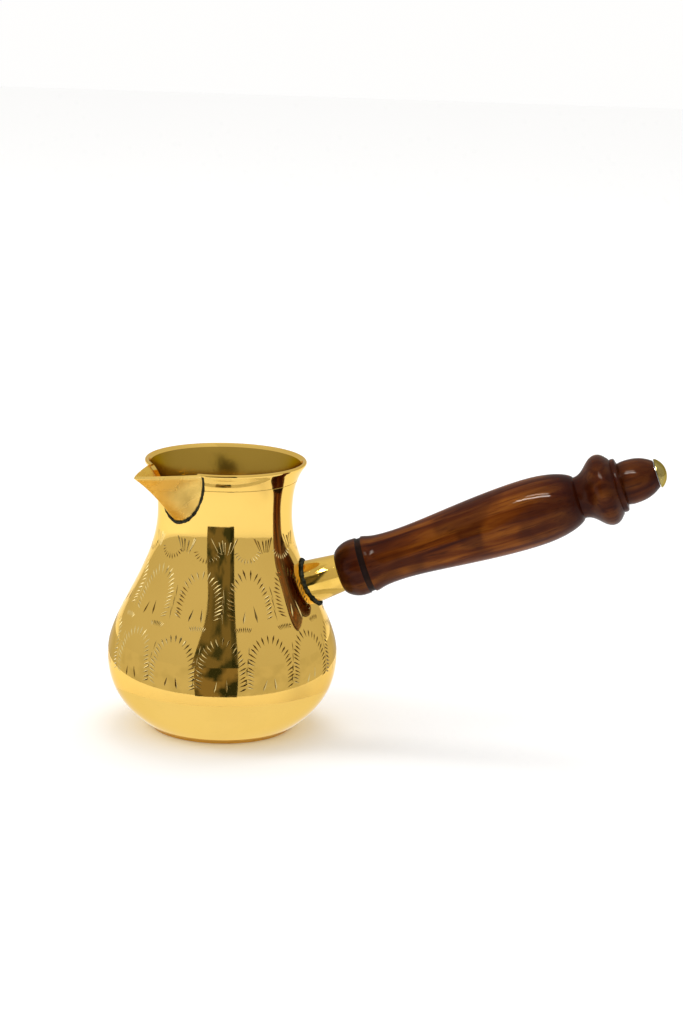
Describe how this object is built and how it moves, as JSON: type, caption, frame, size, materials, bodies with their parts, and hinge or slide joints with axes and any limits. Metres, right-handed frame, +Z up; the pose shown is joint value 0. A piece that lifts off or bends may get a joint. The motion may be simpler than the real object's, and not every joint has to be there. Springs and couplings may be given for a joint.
{
  "type": "turkish coffee pot",
  "caption": "Brass coffee pot with a round belly, a narrow neck, a beak spout soldered to the rim and a turned wooden handle held by a long screw.",
  "frame": {"origin": "centre of the flat base, on the surface that the pot stands on", "axes": "+Z up along the pot's axis; +X towards the handle, which lies in the XZ plane; the spout is on the -X -Y side"},
  "size_m": [0.2055, 0.086, 0.109],
  "materials": {
    "brass_polished": "polished, hand engraved",
    "brass_sheet": "satin sheet",
    "brass_tube": "polished",
    "brass_cap": "dull polished",
    "solder": "dark oxidised solder",
    "lacquered_wood": "glossy lacquer",
    "steel": "zinc plated"
  },
  "bodies": {
    "pot": {"pot_body": "brass_polished", "spout": "brass_sheet", "spout_solder": "solder", "handle_socket": "brass_tube", "socket_solder": "solder", "socket_nut": "brass_tube"},
    "handle": {"wooden_handle": "lacquered_wood", "end_washer": "steel"},
    "screw": {"tie_rod": "steel", "cap_nut": "brass_cap"}
  },
  "joints": [
    {"name": "handle_slide", "type": "slide", "parent": "pot", "child": "handle", "axis": [0.9379, 0, 0.3469], "range_m": [0, 0.0096]},
    {"name": "screw_turn", "type": "hinge", "parent": "handle", "child": "screw", "pos_m": [0.04371, 0, 0.06057], "axis": [0.9379, 0, 0.3469], "range_deg": [0, 4325]}
  ],
  "couplings": [
    {"joint": "screw_turn", "follows": "handle_slide", "rad_per_m": 7854}
  ]
}
